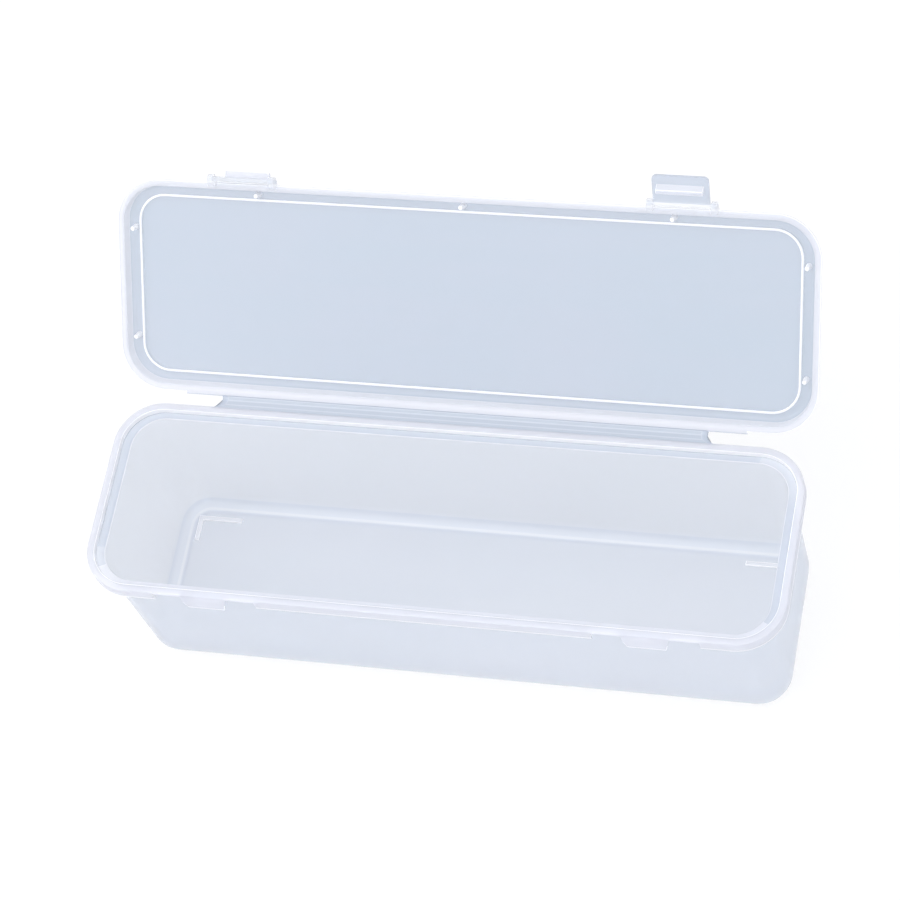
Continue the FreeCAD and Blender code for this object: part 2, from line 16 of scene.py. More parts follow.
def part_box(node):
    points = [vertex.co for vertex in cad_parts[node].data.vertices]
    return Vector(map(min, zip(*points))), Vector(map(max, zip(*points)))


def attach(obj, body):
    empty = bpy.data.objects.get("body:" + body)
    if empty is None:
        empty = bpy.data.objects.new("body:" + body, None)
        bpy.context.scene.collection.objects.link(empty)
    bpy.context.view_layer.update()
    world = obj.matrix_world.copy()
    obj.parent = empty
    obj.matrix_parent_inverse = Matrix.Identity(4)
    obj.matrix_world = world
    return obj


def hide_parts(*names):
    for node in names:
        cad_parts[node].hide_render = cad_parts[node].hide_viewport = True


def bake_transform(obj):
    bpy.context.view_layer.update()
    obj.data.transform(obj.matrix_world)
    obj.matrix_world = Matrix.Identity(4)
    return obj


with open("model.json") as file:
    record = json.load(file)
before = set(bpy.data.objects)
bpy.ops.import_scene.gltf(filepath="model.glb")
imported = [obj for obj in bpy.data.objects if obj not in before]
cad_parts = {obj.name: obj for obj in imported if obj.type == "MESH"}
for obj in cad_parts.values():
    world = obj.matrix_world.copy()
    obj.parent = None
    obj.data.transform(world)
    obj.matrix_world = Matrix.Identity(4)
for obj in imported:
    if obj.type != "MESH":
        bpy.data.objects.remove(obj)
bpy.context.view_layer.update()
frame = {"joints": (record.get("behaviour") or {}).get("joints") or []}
MM = 0.001

# %% [markdown]
# The camera looks down on the box from its right front, rolled so that the box lies
# across the picture. A Track To constraint could aim it, but leaves no simple way to
# roll it about its line of sight. So it sits on a sphere round a target, at a distance,
# an azimuth and an elevation, and is rolled last. A long lens keeps the perspective
# gentle.

# %% Camera
CAMERA_TARGET = Vector((18.73, 0.0, 142.56)) * MM
CAMERA_DISTANCE = 1293.35 * MM
CAMERA_AZIMUTH = math.radians(32.90)
CAMERA_ELEVATION = math.radians(60.40)
CAMERA_ROLL = math.radians(-25.0)
CAMERA_LENS = 137.0
CAMERA_NEAR = 50 * MM


def add_camera():
    """A camera on a sphere round the target, turned about its own line of sight."""
    back = Vector((
        math.sin(CAMERA_AZIMUTH) * math.cos(CAMERA_ELEVATION),
        -math.cos(CAMERA_AZIMUTH) * math.cos(CAMERA_ELEVATION),
        math.sin(CAMERA_ELEVATION),
    ))
    data = bpy.data.cameras.new("camera")
    data.lens = CAMERA_LENS
    data.clip_start = CAMERA_NEAR
    camera = bpy.data.objects.new("camera", data)
    bpy.context.scene.collection.objects.link(camera)
    camera.location = CAMERA_TARGET + back * CAMERA_DISTANCE
    look = (-back).to_track_quat("-Z", "Y")
    roll = Matrix.Rotation(CAMERA_ROLL, 3, "Z").to_quaternion()
    camera.rotation_mode = "QUATERNION"
    camera.rotation_quaternion = look @ roll
    bpy.context.scene.camera = camera
    return camera


camera = add_camera()
print("camera at", [round(part, 3) for part in camera.location])

# %% [markdown]
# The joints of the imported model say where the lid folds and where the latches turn.
# A tilted lid is awkward to model, because every inset and extrusion would need turned
# axes. So every new piece is modelled as it lies in the closed box, where its faces
# are square to the axes, and is then turned to rest about those same lines.

# %% Places from the frame
JOINTS = {joint["name"]: joint for joint in frame["joints"]}
FOLD = Vector(JOINTS["lid_hinge"]["pos_m"])
LID_TURN = math.radians(JOINTS["lid_hinge"]["range_deg"][1])
LATCH_LIFT = {
    side: math.radians(JOINTS[f"latch_{side}_pivot"]["range_deg"][1])
    for side in ("left", "right")
}
X_AXIS = Vector((1, 0, 0))


def turn_about(point, angle):
    """A turn about a line along X through a point."""
    return (
        Matrix.Translation(point)
        @ Matrix.Rotation(angle, 4, X_AXIS)
        @ Matrix.Translation(-point)
    )


OPEN_LID = turn_about(FOLD, -LID_TURN)
PIVOT = OPEN_LID.inverted() @ Vector(JOINTS["latch_right_pivot"]["pos_m"])
LATCH_X = PIVOT.x

tub_low, tub_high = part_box("tub")
_, lid_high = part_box("lid")
FLANGE_X = tub_high.x
FLANGE_Y = tub_high.y
TOP = tub_high.z
CATCH_FACE = -tub_low.y
RIM_X = lid_high.x
# The lid's rim reaches past the flange by the same width all round.
RIM_Y = FLANGE_Y + RIM_X - FLANGE_X
print("fold line in mm", FOLD / MM)
print("latch pivot in the closed box in mm", PIVOT / MM)

# %% [markdown]
# A material is a tree of nodes. Two helpers keep it short: one adds a node with its
# settings and links in a single call, and one turns the sRGB hex value that a colour
# picker shows into the linear light that a shader works in.

# %% Helpers for materials
# In a Mix node the float sockets come first, so its colour sockets go by number.
MIX_FACTOR, MIX_COLOUR_A, MIX_COLOUR_B, MIX_COLOUR_OUT = 0, 6, 7, 2


def linear(colour):
    """The linear RGBA of an sRGB hex colour."""
    parts = [int(colour[start:start + 2], 16) / 255 for start in (1, 3, 5)]
    curve = [
        part / 12.92 if part <= 0.04045 else ((part + 0.055) / 1.055) ** 2.4
        for part in parts
    ]
    return (*curve, 1.0)


def add_node(tree, kind, inputs=None, **settings):
    """Add a node with its settings. An input is a value, or a socket to link from."""
    node = tree.nodes.new(kind)
    for name, value in settings.items():
        setattr(node, name, value)
    for name, value in (inputs or {}).items():
        if isinstance(value, bpy.types.NodeSocket):
            tree.links.new(value, node.inputs[name])
        else:
            node.inputs[name].default_value = value
    return node


print("middle grey in linear light", round(linear("#808080")[0], 3))

# %% [markdown]
# The whole box is polypropylene without pigment. Its crystals scatter light, so a thin
# wall is milky, and shows what lies behind it as a soft blur. That can be made with
# subsurface or volume scattering, but both are slow and grainy in walls 1 mm thick.
# Here one Principled shader shares the light out instead: what passes straight through
# (alpha), what passes as a soft blur (rough transmission), and what is scattered back
# as a cool tint (the base colour). Slow clouds and streaks vary that tint a little, as
# uneven cooling and flow do in a real moulding.

# %% Polypropylene
POLYPROPYLENE_IOR = 1.49
WAXY_ROUGHNESS = 0.35
CLOUD_SIZE = 55 * MM
FLOW_LENGTH = 90 * MM
FLOW_WIDTH = 7 * MM
FLOW_SHARE = 0.35


def polypropylene(name, tint, cloud_tint, cover=0.5, blur=0.6):
    """Injection-moulded natural polypropylene: milky, slightly waxy, softly glossy.

    Cover is the share of each face that light can't pass straight through, and blur
    is the share of that cover which lets it through as a soft blur.
    """
    material = bpy.data.materials.new(name)
    material.use_nodes = True
    tree = material.node_tree
    tree.nodes.clear()
    place = add_node(tree, "ShaderNodeTexCoord").outputs["Object"]
    # Uneven cooling leaves faint clouds in the haze, a few centimetres across.
    clouds = add_node(tree, "ShaderNodeTexNoise", {
        "Vector": place, "Scale": 1 / CLOUD_SIZE, "Detail": 2.0, "Roughness": 0.4})
    # The melt ran along the box and left faint streaks that way.
    along = add_node(tree, "ShaderNodeMapping", {
        "Vector": place, "Scale": (1 / FLOW_LENGTH, 1 / FLOW_WIDTH, 1 / FLOW_WIDTH)})
    streaks = add_node(tree, "ShaderNodeTexNoise", {
        "Vector": along.outputs[0], "Scale": 1.0, "Detail": 1.0})
    haze = add_node(tree, "ShaderNodeMix", {
        MIX_FACTOR: FLOW_SHARE, "A": clouds.outputs[0], "B": streaks.outputs[0]})
    colour = add_node(tree, "ShaderNodeMix", {
        MIX_FACTOR: haze.outputs[0], MIX_COLOUR_A: linear(tint),
        MIX_COLOUR_B: linear(cloud_tint)}, data_type="RGBA")
    principled = add_node(tree, "ShaderNodeBsdfPrincipled", {
        "Base Color": colour.outputs[MIX_COLOUR_OUT],
        "Roughness": WAXY_ROUGHNESS,
        "IOR": POLYPROPYLENE_IOR,
        "Transmission Weight": blur,
        "Alpha": cover,
    })
    add_node(tree, "ShaderNodeOutputMaterial", {"Surface": principled.outputs[0]})
    return material


print("clouds", round(CLOUD_SIZE / MM), "mm across, streaks", round(FLOW_WIDTH / MM), "mm")

# %% [markdown]
# Where a wall is seen edge on, as at a rim, a ridge or a lip, light that runs inside it
# comes out, and the plastic looks nearly white. A thin panel in the shade looks bluer.
# One shader that worked this out for itself would need true scattering, so each moulding gets
# several finishes of the one plastic instead, with that light and shade painted into their
# colours: its wall, its painted highlights, its pale rims, its shaded faces, its floor and its
# small parts.

# %% Finishes
# Walls of 1.2 to 1.4 mm take a cool tint from the light that is lost inside them.
tub_wall = polypropylene("milky_polypropylene_tub_wall", "#E7EFF9", "#E9EDF8")
lid_wall = polypropylene("milky_polypropylene_lid_wall", "#A9BED3", "#B6BFD5", cover=0.52)
film_wall = polypropylene("milky_polypropylene_hinge_film", "#B0C0D4", "#B5C0D4", cover=0.55)
latch_wall = polypropylene("milky_polypropylene_latch", "#BDCDDF", "#C2CBDF", cover=0.55)
# The floor gets no light from below, and looks a little darker than the walls.
floor_wall = polypropylene(
    "milky_polypropylene_floor", "#CFDAE9", "#D3D9E9", cover=0.55, blur=0.5)
# A ledge in the open lid's shade and the film's thick ends look cooler and darker.
shaded_wall = polypropylene(
    "milky_polypropylene_in_shade", "#B6C4D6", "#BBC4D6", cover=0.62, blur=0.4)
# Rims and catches are seen through two or three walls at once, and look paler. The same finish
# also paints the extra light on the lid's rim and tray wall and on the front ledge.
pale_rim = polypropylene(
    "milky_polypropylene_rim", "#EDF0F9", "#F0F0F8", cover=0.62, blur=0.4)
# Ears and barrels are small and lit from all sides, so they look clearer.
small_part = polypropylene(
    "milky_polypropylene_small_part", "#EFF3FA", "#F2F4FA", cover=0.38, blur=0.5)
# This finish is a painted highlight. It stands in for the light that runs inside a wall and
# comes out where the wall is seen edge on, so it is close to white.
painted_highlight = polypropylene(
    "milky_polypropylene_painted_highlight", "#FFFFFF", "#FCFCFF", cover=0.92, blur=0.15)
finishes = [
    tub_wall, lid_wall, film_wall, latch_wall,
    floor_wall, shaded_wall, pale_rim, small_part, painted_highlight,
]
print("finishes", [material.name for material in finishes])

# %% [markdown]
# An operator acts on all that is selected, and a new primitive or a loaded solid comes
# selected. So each piece is first selected alone, and its faces are then picked in code
# by where they lie and which way they look, as a hand would pick them with the mouse.

# %% Helpers for picking
# A face looks one way when more than this share of its normal points there,
FACING = 0.9
# and leans that way when more than this share does.
LEANING = 0.3


def select_only(piece):
    """Make one piece the only selected one, and the active one."""
    bpy.ops.object.select_all(action="DESELECT")
    bpy.context.view_layer.objects.active = piece
    piece.select_set(True)


def start_editing(piece):
    """Edit one piece alone, with nothing of it selected."""
    select_only(piece)
    bpy.ops.object.mode_set(mode="EDIT")
    bpy.ops.mesh.select_mode(type="FACE")
    bpy.ops.mesh.select_all(action="DESELECT")


def stop_editing():
    """Back to object mode."""
    bpy.ops.object.mode_set(mode="OBJECT")


def pick_faces(piece, test):
    """In edit mode, select the faces whose middle and normal pass a test."""
    bpy.ops.mesh.select_all(action="DESELECT")
    mesh = bmesh.from_edit_mesh(piece.data)
    for face in mesh.faces:
        if test(face.calc_center_median(), face.normal):
            face.select_set(True)
    bmesh.update_edit_mesh(piece.data)


def faces_up(middle, normal):
    """A face that looks straight up."""
    return normal.z > FACING


def faces_down(middle, normal):
    """A face that looks straight down."""
    return normal.z < -FACING


print("a face may lean by", round(math.degrees(math.acos(FACING)), 1), "degrees and be picked")

# %% [markdown]
# Box walls, ledges and rims are all the same rounded rectangle, stepped in or out and
# up or down. They could be swept along a path or cut from blocks with Booleans, but
# insets keep every step parallel and every wall even. So a piece starts as a plane
# whose corners are bevelled round, is extruded to a slab, and its top and bottom faces
# are then inset and sunk step by step.

# %% Helpers for stepped mouldings
CORNER_STEPS = 14
WALL_SLOT, HIGHLIGHT_SLOT, RIM_SLOT, SHADE_SLOT, FLOOR_SLOT, SMALL_SLOT = range(6)


def extrude(x=0.0, y=0.0, z=0.0):
    """Extrude the selected faces by a step."""
    bpy.ops.mesh.extrude_region_move(TRANSFORM_OT_translate={"value": (x, y, z)})


def inset(width, depth=0.0):
    """Inset the selected face by an even width, and raise it along its normal."""
    bpy.ops.mesh.inset(thickness=width, depth=depth, use_even_offset=True)


def stretch_x(old, new):
    """Scale the selection along the box, from one half length to another."""
    bpy.ops.transform.resize(value=(new / old, 1, 1), center_override=(0, 0, 0))


def round_selected(radius, steps):
    """Round the edges of the selected face."""
    bpy.ops.mesh.bevel(offset=radius, segments=steps, affect="EDGES")


def recalculate_normals():
    """Point every face of the edited piece outwards."""
    bpy.ops.mesh.select_all(action="SELECT")
    bpy.ops.mesh.normals_make_consistent(inside=False)


def give_finishes(piece, wall):
    """The piece's finishes, in the order of their slots."""
    for material in (wall, painted_highlight, pale_rim, shaded_wall, floor_wall, small_part):
        piece.data.materials.append(material)


def rounded_slab(name, wall, half_x, half_y, corner, low, height):
    """A slab with round corners, left in edit mode with its top face selected."""
    bpy.ops.object.select_all(action="DESELECT")
    bpy.ops.mesh.primitive_plane_add(size=2, location=(0, 0, 0))
    piece = bpy.context.object
    piece.name = piece.data.name = name
    give_finishes(piece, wall)
    start_editing(piece)
    bpy.ops.mesh.select_all(action="SELECT")
    bpy.ops.transform.resize(value=(half_x, half_y, 1))
    bpy.ops.transform.translate(value=(0, 0, low))
    bpy.ops.mesh.bevel(offset=corner, segments=CORNER_STEPS, affect="VERTICES")
    extrude(z=height)
    recalculate_normals()
    pick_faces(piece, faces_up)
    return piece


print("finishes on each piece", SMALL_SLOT + 1)

# %% [markdown]
# Moulded edges are never sharp, and here their roundings also carry the painted highlight.
# A Bevel modifier could round them at render time, but the bevel operator makes real
# faces, which take a finish of their own and can be painted again in later steps.

# %% Helpers for edges and finishes
SHARP_ANGLE = math.radians(28)
EDGE_STEPS = 2


def soften(piece, width, slot=HIGHLIGHT_SLOT):
    """Round every sharp edge of a piece and give the roundings a finish."""
    start_editing(piece)
    bpy.ops.mesh.select_mode(type="EDGE")
    bpy.ops.mesh.edges_select_sharp(sharpness=SHARP_ANGLE)
    bpy.ops.mesh.bevel(
        offset=width, segments=EDGE_STEPS, affect="EDGES", material=slot)
    bpy.ops.mesh.select_mode(type="FACE")
    stop_editing()


def paint(piece, slot, test=None):
    """Give a finish to all faces, or to those whose middle and normal pass a test."""
    for face in piece.data.polygons:
        if test is None or test(face.center, face.normal):
            face.material_index = slot


def reach_past(point, half_x, half_y, corner):
    """How far a point lies outside a rounded rectangle, seen from above."""
    over_x = max(abs(point.x) - half_x + corner, 0)
    over_y = max(abs(point.y) - half_y + corner, 0)
    return math.hypot(over_x, over_y) - corner


print("edges sharper than", round(math.degrees(SHARP_ANGLE)), "degrees are rounded")

# %% [markdown]
# Side shapes such as catches and ears are made by themselves, the catches softened first, and
# a Boolean then joins them to the moulding they belong to. They could be grown out of its
# faces, but a Boolean keeps the finishes of both shapes and leaves one closed shell, which
# every report checks by counting the edges that don't have a face on both sides.

# %% Helpers for joins and reports
SMOOTH_ANGLE = math.radians(32)


def merge(piece, other, operation):
    """Join or cut another solid into a piece with a Boolean, and drop the other."""
    modifier = piece.modifiers.new(operation.lower(), "BOOLEAN")
    modifier.operation = operation
    modifier.object = other
    modifier.solver = "EXACT"
    select_only(piece)
    bpy.ops.object.modifier_apply(modifier=modifier.name)
    bpy.data.objects.remove(other)


def shift(piece, step):
    """Move a piece's mesh, so that the object itself stays at the origin."""
    piece.data.transform(Matrix.Translation(step))
    return piece


def copy_of(piece, name):
    """A copy with its own mesh."""
    copy = piece.copy()
    copy.data = piece.data.copy()
    copy.name = copy.data.name = name
    bpy.context.scene.collection.objects.link(copy)
    return copy


def report(piece):
    """Print a piece's box in mm, its faces, and the edges that aren't closed."""
    corners = [vertex.co for vertex in piece.data.vertices]
    low = [round(min(corner[axis] for corner in corners) / MM, 2) for axis in range(3)]
    high = [round(max(corner[axis] for corner in corners) / MM, 2) for axis in range(3)]
    mesh = bmesh.new()
    mesh.from_mesh(piece.data)
    loose = sum(len(edge.link_faces) != 2 for edge in mesh.edges)
    mesh.free()
    print(piece.name, low, high, len(piece.data.polygons), "faces, loose edges", loose)


def finish_shape(piece):
    """Smooth shading that keeps the sharp edges sharp, and only the finishes in use."""
    select_only(piece)
    bpy.ops.object.shade_smooth_by_angle(angle=SMOOTH_ANGLE)
    bpy.ops.object.material_slot_remove_unused()
    report(piece)


print("shading is smooth up to", round(math.degrees(SMOOTH_ANGLE)), "degrees")

# %% [markdown]
# Catches, ears and hooks are plates with a drawn edge. A curve could draw the edge, but
# it would have to be turned into a mesh first. Each plate starts instead as a filled
# circle with one vertex per corner, which are moved on to the outline and extruded.
# Hollows are cut with boxes, and bores and barrels come from rods.

# %% Helpers for plates, boxes and rods
ROD_SIDES = 32


def add_plate(name, wall, outline, low_x, high_x):
    """A plate between two places along X, whose edge is an outline of (y, z) corners."""
    bpy.ops.object.select_all(action="DESELECT")
    bpy.ops.mesh.primitive_circle_add(
        vertices=len(outline), radius=1, fill_type="NGON", location=(0, 0, 0))
    plate = bpy.context.object
    plate.name = plate.data.name = name
    give_finishes(plate, wall)
    for vertex, (y, z) in zip(plate.data.vertices, outline):
        vertex.co = (low_x, y, z)
    start_editing(plate)
    bpy.ops.mesh.select_all(action="SELECT")
    extrude(x=high_x - low_x)
    recalculate_normals()
    stop_editing()
    return plate


def add_box(name, wall, low, high):
    """A box between two corners, with its place in its mesh."""
    bpy.ops.object.select_all(action="DESELECT")
    low, high = Vector(low), Vector(high)
    bpy.ops.mesh.primitive_cube_add(size=1, location=(low + high) / 2)
    box = bpy.context.object
    box.name = box.data.name = name
    give_finishes(box, wall)
    box.scale = high - low
    bpy.ops.object.transform_apply(location=True, rotation=True, scale=True)
    return box


def add_rod(name, wall, middle, radius, length):
    """A rod along X, with its place in its mesh."""
    bpy.ops.object.select_all(action="DESELECT")
    bpy.ops.mesh.primitive_cylinder_add(
        vertices=ROD_SIDES, radius=radius, depth=length, location=middle,
        rotation=(0, math.pi / 2, 0))
    rod = bpy.context.object
    rod.name = rod.data.name = name
    give_finishes(rod, wall)
    bpy.ops.object.transform_apply(location=True, rotation=True, scale=True)
    return rod


print("a rod's facets turn by", 360 / ROD_SIDES, "degrees")

# %% [markdown]
# The tub is one thin moulding. Its mouth steps in at a ledge that the closed lid covers,
# its flange ends in a short hanging skirt that stiffens the edge, and its walls lean in
# a little, so that it leaves the mould. Solidify could give one surface its wall, but
# the rim is thinner than the walls, so both sides are stepped from one slab. The inside
# comes first: flange, ledge, then the room down to the floor, with its rounding.

# %% Tub, inside
FLANGE_CORNER = 19.45 * MM
FLANGE_REACH = 3.15 * MM
RIM_WALL = 1.0 * MM
SKIRT_DEPTH = 6.1 * MM
LEDGE_DEPTH = 2.9 * MM
TUB_WALL = 1.4 * MM
BODY_X = 137.7 * MM
BODY_Y = 37.9 * MM
BODY_DRAFT = math.radians(1.1)
BODY_LEAN = math.tan(BODY_DRAFT)
BASE_ROUND = 7.1 * MM
ROUND_STEPS = 8

MOUTH_X = FLANGE_X - FLANGE_REACH
MOUTH_Y = FLANGE_Y - FLANGE_REACH
MOUTH_CORNER = FLANGE_CORNER - FLANGE_REACH

tub = rounded_slab(
    "tub_shell", tub_wall, FLANGE_X, FLANGE_Y, FLANGE_CORNER,
    TOP - SKIRT_DEPTH, SKIRT_DEPTH)
inset(FLANGE_REACH)
extrude(z=-LEDGE_DEPTH)
ledge = MOUTH_Y - BODY_Y + TUB_WALL
inset(ledge)
stretch_x(MOUTH_X - ledge, BODY_X - TUB_WALL)
room_depth = TOP - LEDGE_DEPTH - TUB_WALL
inset(room_depth * BODY_LEAN, -room_depth)
round_selected(BASE_ROUND - TUB_WALL, ROUND_STEPS)
print("room below the ledge in mm", round(room_depth / MM, 2))

# %% [markdown]
# The underside of the same slab is stepped in the same way: up inside the skirt, back
# down round the ledge, then down the outside of the walls to the base. Each step is
# one wall thickness away from the step inside, which makes the shell.

# %% Tub, outside
pick_faces(tub, faces_down)
inset(RIM_WALL)
extrude(z=SKIRT_DEPTH - RIM_WALL)
inset(FLANGE_REACH - 2 * RIM_WALL)
extrude(z=-LEDGE_DEPTH)
step = MOUTH_Y + RIM_WALL - BODY_Y
inset(step)
stretch_x(MOUTH_X + RIM_WALL - step, BODY_X)
body_height = TOP - LEDGE_DEPTH - RIM_WALL
inset(body_height * BODY_LEAN, body_height)
round_selected(BASE_ROUND, ROUND_STEPS)
stop_editing()
report(tub)

# %% [markdown]
# The tub's wall thickness and the light on it differ from region to region, so its faces
# now get their finishes. They could be painted on a texture, but each region ends at a
# moulded edge, so a test on a face's place and normal finds it exactly. A cut all
# round the skirt, made with bisect, sets off its lowest strip.

# %% Tub, finishes of lip, skirt and floor
LIP_ROUND = 0.33 * MM
BEAD = 0.9 * MM
ROUND_FOOT = 2.0 * MM
ROUND_HEAD = 5.0 * MM
# Only a flat face has a normal this straight.
FLAT = 0.99


def past_mouth(middle):
    """How far a point lies outside the mouth's outline."""
    return reach_past(middle, MOUTH_X, MOUTH_Y, MOUTH_CORNER)


def is_lip(middle, normal):
    """The flange, its skirt and the lip's wall above the ledge."""
    if past_mouth(middle) > RIM_WALL / 2:
        return middle.z > TOP - SKIRT_DEPTH - LIP_ROUND
    return middle.z > TOP - LEDGE_DEPTH + LIP_ROUND


def is_skirt_bead(middle, normal):
    """The lowest strip of the skirt."""
    above = middle.z - TOP + SKIRT_DEPTH
    return past_mouth(middle) > RIM_WALL and -LIP_ROUND < above < BEAD


def is_lip_face(middle, normal):
    """The lip's inner face, which stands edge on to the light in the flange."""
    above_ledge = TOP - LEDGE_DEPTH + LIP_ROUND < middle.z < TOP - LIP_ROUND
    return above_ledge and abs(past_mouth(middle)) < LIP_ROUND


def is_floor(middle, normal):
    """The flat of the floor, and the middle of the rounding round it."""
    flat = middle.z < TUB_WALL + LIP_ROUND and abs(normal.z) > FLAT
    return flat or ROUND_FOOT < middle.z < ROUND_HEAD


start_editing(tub)
bpy.ops.mesh.select_all(action="SELECT")
bpy.ops.mesh.bisect(plane_co=(0, 0, TOP - SKIRT_DEPTH + BEAD), plane_no=(0, 0, 1))
stop_editing()
# The lip takes the paler rim finish, the skirt's lowest strip and the lip's inner face a
# painted highlight, and the floor painted shade for the light it lacks from below.
paint(tub, RIM_SLOT, is_lip)
paint(tub, HIGHLIGHT_SLOT, is_skirt_bead)
paint(tub, FLOOR_SLOT, is_floor)
paint(tub, HIGHLIGHT_SLOT, is_lip_face)
print("skirt's lowest strip in mm", round(BEAD / MM, 2))

# %% [markdown]
# Softening gives every edge of the tub the painted highlight. The turns at the flange and
# round the ledge aren't that bright on the real box, so they are painted again. The ledge lies
# in the open lid's shade at the back and the left, and in full light along the front. Three
# finishes step that change from dark to pale as painted shade and light, with no texture.

# %% Tub, soft edges and ledge
# The open lid's shade ends on a line that slants across the mouth, where the shares of
# its half length and its half width differ by this much.
SHADE_LINE = -0.45


def is_flange_turn(middle, normal):
    """The soft turn from the flange down to its skirt."""
    return middle.z > TOP - 2 * LIP_ROUND and past_mouth(middle) > FLANGE_REACH - LIP_ROUND


def is_ledge(middle, normal):
    """The ledge inside the mouth, with the hollow edge at the foot of the lip."""
    level = abs(middle.z - TOP + LEDGE_DEPTH) < LIP_ROUND
    return level and LIP_ROUND - ledge < past_mouth(middle) < LIP_ROUND


def is_lit_ledge(middle, normal):
    """The ledge at the right end and along the front, with the corners beside them."""
    along_slant = middle.x / MOUTH_X - middle.y / MOUTH_Y
    return is_ledge(middle, normal) and along_slant > SHADE_LINE


def is_front_ledge(middle, normal):
    """The ledge along the front and into its corners, which gets the most light."""
    return is_ledge(middle, normal) and middle.y < MOUTH_CORNER / 2 - MOUTH_Y


def is_ledge_edge(middle, normal):
    """The soft turn from the ledge down into the room."""
    level = abs(middle.z - TOP + LEDGE_DEPTH) < 1.5 * LIP_ROUND
    return level and past_mouth(middle) < LIP_ROUND - ledge


soften(tub, LIP_ROUND)
paint(tub, RIM_SLOT, is_flange_turn)
paint(tub, SHADE_SLOT, is_ledge)
paint(tub, FLOOR_SLOT, is_lit_ledge)
paint(tub, RIM_SLOT, is_front_ledge)
paint(tub, RIM_SLOT, is_ledge_edge)
report(tub)

# %% [markdown]
# On the front, each latch snaps over a catch: a tapering plate that stands on two ribs
# and slopes at the top, so that the hook slides down over it. Its side view is the
# hardest line to get right, so it is drawn as a plate, its sides are then moved in
# towards its lower edge, and a box hollows it from behind.

# %% One catch
CATCH_ROOT_HALF = 9.9 * MM
CATCH_TIP_HALF = 7.8 * MM
CATCH_DEPTH = 8.8 * MM
CATCH_SLOPE = 4.1 * MM
CATCH_WALL = 1.6 * MM
CATCH_RIB = 1.2 * MM
WALL_MIDDLE = BODY_Y - TUB_WALL / 2
STEP_LOW = TOP - LEDGE_DEPTH - RIM_WALL


def is_catch_foot(middle, normal):
    """The lowest strip of the catch's face."""
    return normal.y < -FACING and middle.z < TOP - CATCH_DEPTH + BEAD


def is_catch_top(middle, normal):
    """The catch's upper edges, which blend into the flange."""
    leans_forward = normal.y < -LEANING * abs(normal.x)
    return leans_forward and middle.z > TOP - CATCH_SLOPE - LIP_ROUND


def add_catch():
    """A catch in the middle of the front, hollow behind, with its top in the flange."""
    top = TOP - RIM_WALL / 2
    lead = (CATCH_FACE - FLANGE_Y) * (TOP - top) / CATCH_SLOPE
    behind_lip = -MOUTH_Y - RIM_WALL / 2
    catch = add_plate("catch", tub_wall, [
        (behind_lip, top), (-FLANGE_Y - lead, top), (-CATCH_FACE, TOP - CATCH_SLOPE),
        (-CATCH_FACE, TOP - CATCH_DEPTH + BEAD), (-CATCH_FACE, TOP - CATCH_DEPTH),
        (-WALL_MIDDLE, TOP - CATCH_DEPTH),
        (-WALL_MIDDLE, STEP_LOW + RIM_WALL / 2), (behind_lip, STEP_LOW + RIM_WALL / 2),
    ], -CATCH_ROOT_HALF, CATCH_ROOT_HALF)
    for vertex in catch.data.vertices:
        down = (TOP - vertex.co.z) / CATCH_DEPTH
        half = CATCH_ROOT_HALF + (CATCH_TIP_HALF - CATCH_ROOT_HALF) * down
        vertex.co.x = math.copysign(half, vertex.co.x)
    inner_half = CATCH_TIP_HALF - CATCH_RIB
    merge(catch, add_box(
        "catch_hollow", tub_wall,
        (-inner_half, CATCH_WALL - CATCH_FACE, TOP - 2 * CATCH_DEPTH),
        (inner_half, -BODY_Y, STEP_LOW)), "DIFFERENCE")
    paint(catch, RIM_SLOT)
    # The lowest strip of the catch's face takes a painted highlight.
    paint(catch, HIGHLIGHT_SLOT, is_catch_foot)
    soften(catch, LIP_ROUND)
    paint(catch, RIM_SLOT, is_catch_top)
    return catch


catch = add_catch()
report(catch)

# %% [markdown]
# The catch was made in the middle of the front, where its two sides mirror each other about X
# = 0. It is now copied to both latches. The skirt leaves a gap round each catch, which a box
# cuts first, and the cut's faces take the painted highlight.

# %% Catches in place
GAP_HALF = 21.5 * MM

for side in (-1, 1):
    place = side * LATCH_X
    skirt_gap = add_box(
        "skirt_gap", tub_wall,
        (place - GAP_HALF, -FLANGE_Y - RIM_WALL, TOP - SKIRT_DEPTH - RIM_WALL),
        (place + GAP_HALF, -FLANGE_Y + 1.5 * RIM_WALL, TOP - RIM_WALL))
    paint(skirt_gap, HIGHLIGHT_SLOT)
    merge(tub, skirt_gap, "DIFFERENCE")
    merge(tub, shift(copy_of(catch, "side_catch"), (place, 0, 0)), "UNION")
bpy.data.objects.remove(catch)
report(tub)

# %% [markdown]
# A low L-shaped rib stands on the floor in each corner. Two crossed boxes would need a
# Boolean between them, so it starts as one small cube, and its two arms are extruded
# from the cube's sides. The other three are its mirror images, and a mirrored mesh is
# inside out, so its normals are recalculated.

# %% Floor ribs
RIB_END_INSET = 9.2 * MM
RIB_SIDE_INSET = 10.6 * MM
RIB_X = BODY_X - RIB_END_INSET
RIB_Y = BODY_Y - RIB_SIDE_INSET
RIB_LONG = 19.4 * MM
RIB_SHORT = 11.7 * MM
RIB_WALL = 2.1 * MM
RIB_RISE = 0.6 * MM


